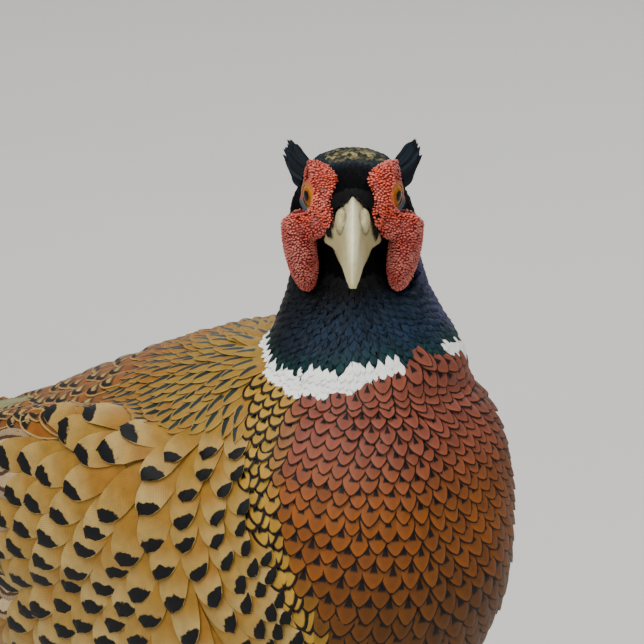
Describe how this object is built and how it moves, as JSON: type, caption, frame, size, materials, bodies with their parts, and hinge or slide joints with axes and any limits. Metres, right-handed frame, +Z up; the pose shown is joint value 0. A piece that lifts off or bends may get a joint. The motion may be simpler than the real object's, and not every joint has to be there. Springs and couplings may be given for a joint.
{
  "type": "male common pheasant",
  "caption": "Life-size standing cock pheasant with its head turned to its right, folded wings, red face skin, white collar and a long pointed tail.",
  "frame": {"origin": "on the floor, under the middle of the bird's bounding box", "axes": "+Y from the breast towards the tail tip, +X to the bird's left, +Z up"},
  "size_m": [0.1488, 0.7358, 0.3358],
  "materials": {
    "body_plumage": "copper and gold feathers with black edges",
    "neck_plumage": "dark feathers with a blue, green and violet gloss and a white collar",
    "face_skin": "soft red skin covered in fine nipples",
    "horn": "smooth ivory horn",
    "eye": "wet amber iris with a black pupil",
    "wing_plumage": "chestnut and buff feathers with cream centres",
    "tail_plumage": "olive buff feathers with narrow black bars",
    "leg_skin": "grey horny scales",
    "claw": "dark smooth horn"
  },
  "bodies": {
    "root": {"head": "neck_plumage", "bill_upper": "horn", "bill_lower": "horn", "eye_left": "eye", "wattle_left": "face_skin", "ear_tuft_left": "neck_plumage", "eye_right": "eye", "wattle_right": "face_skin", "ear_tuft_right": "neck_plumage", "trunk": "body_plumage", "neck": "neck_plumage", "wing_left": "wing_plumage", "primaries_left": "wing_plumage", "wing_right": "wing_plumage", "primaries_right": "wing_plumage", "tail_left_1": "tail_plumage", "tail_right_1": "tail_plumage", "tail_left_2": "tail_plumage", "tail_right_2": "tail_plumage", "tail_left_3": "tail_plumage", "tail_right_3": "tail_plumage", "tail_left_4": "tail_plumage", "tail_right_4": "tail_plumage", "tail_left_5": "tail_plumage", "tail_right_5": "tail_plumage", "tail_left_6": "tail_plumage", "tail_right_6": "tail_plumage", "tail_left_7": "tail_plumage", "tail_right_7": "tail_plumage", "tail_left_8": "tail_plumage", "tail_right_8": "tail_plumage", "tail_left_9": "tail_plumage", "tail_right_9": "tail_plumage", "thigh_left": "body_plumage", "foot_left": "leg_skin", "spur_left": "claw", "claw_inner_left": "claw", "claw_middle_left": "claw", "claw_outer_left": "claw", "claw_hind_left": "claw", "thigh_right": "body_plumage", "foot_right": "leg_skin", "spur_right": "claw", "claw_inner_right": "claw", "claw_middle_right": "claw", "claw_outer_right": "claw", "claw_hind_right": "claw"}
  },
  "joints": []
}
